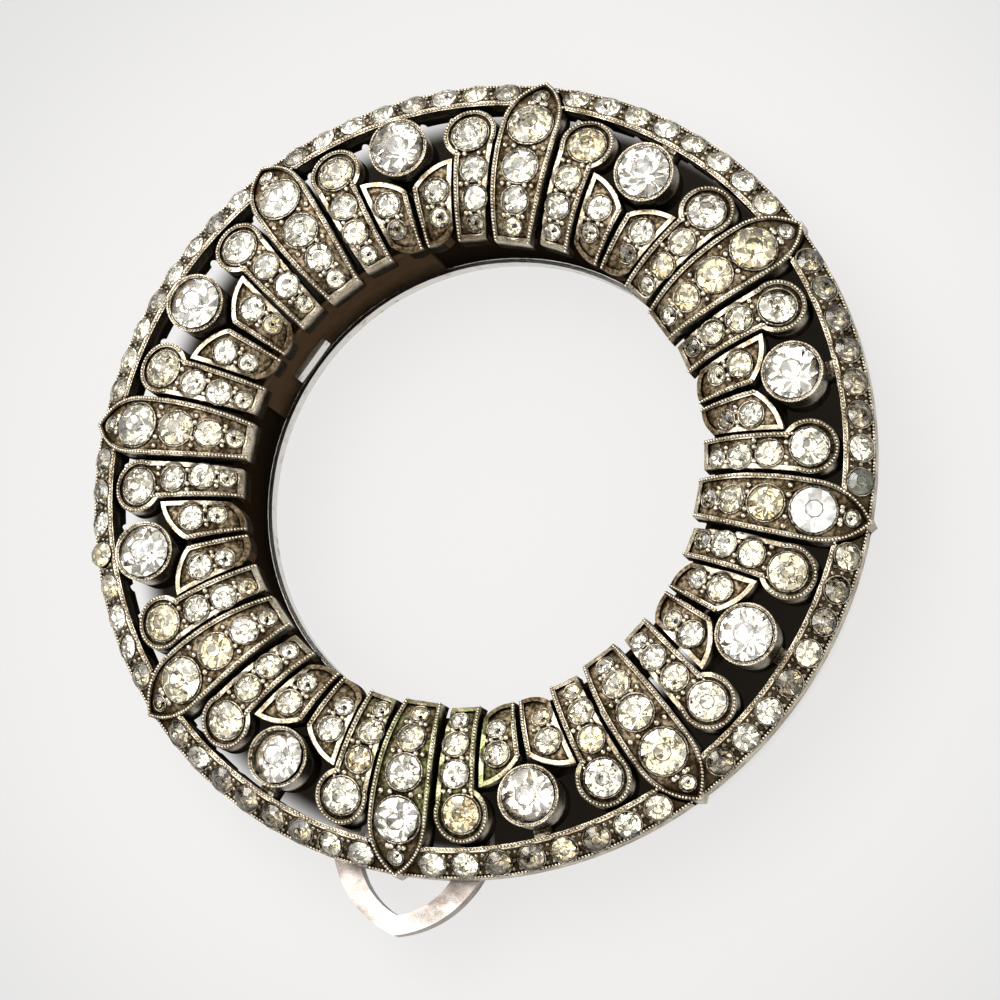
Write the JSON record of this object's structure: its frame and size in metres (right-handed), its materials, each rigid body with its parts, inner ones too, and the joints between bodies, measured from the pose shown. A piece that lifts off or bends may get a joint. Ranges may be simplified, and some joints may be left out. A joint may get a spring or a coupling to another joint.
{
  "type": "ring-shaped dress clip with paste stones",
  "caption": "Domed open ring of stone-set plates and collets inside a sloping stone-set rim, with a hinged clip leaf behind it that grips the edge of a garment.",
  "frame": {"origin": "on the ring's axis, at the level of the base ring's underside", "axes": "+Z to the front along the ring's axis, -Y along the clip leaf to its tip, X along the hinge"},
  "size_m": [0.0562, 0.0599, 0.0106],
  "materials": {
    "silver": "tarnished silver, dark in the recesses",
    "clip_silver": "polished silver",
    "pin_steel": "plain steel",
    "paste": "clear cut paste, foiled at the back"
  },
  "bodies": {
    "ring": {"frame": "silver", "hinge_pin": "pin_steel", "collet_stone_1": "paste", "collet_stone_2": "paste", "collet_stone_3": "paste", "collet_stone_4": "paste", "collet_stone_5": "paste", "collet_stone_6": "paste", "collet_stone_7": "paste", "collet_stone_8": "paste", "long_plate_stone_1": "paste", "long_plate_stone_2": "paste", "long_plate_stone_3": "paste", "long_plate_stone_4": "paste", "long_plate_stone_5": "paste", "long_plate_stone_6": "paste", "long_plate_stone_7": "paste", "long_plate_stone_8": "paste", "head_stone_1": "paste", "head_stone_2": "paste", "head_stone_3": "paste", "head_stone_4": "paste", "head_stone_5": "paste", "head_stone_6": "paste", "head_stone_7": "paste", "head_stone_8": "paste", "head_stone_9": "paste", "head_stone_10": "paste", "head_stone_11": "paste", "head_stone_12": "paste", "head_stone_13": "paste", "head_stone_14": "paste", "head_stone_15": "paste", "head_stone_16": "paste", "long_plate_field": "paste", "medium_plate_field": "paste", "small_plate_field": "paste", "rim_field": "paste"},
    "leaf": {"clip_leaf": "clip_silver"}
  },
  "joints": [
    {"name": "leaf_hinge", "type": "hinge", "parent": "ring", "child": "leaf", "pos_m": [0, -0.0189, 0.0044], "axis": [1, 0, 0], "range_deg": [0, 60], "stiffness_Nm_per_rad": 0.02, "springref_deg": -11.46}
  ]
}
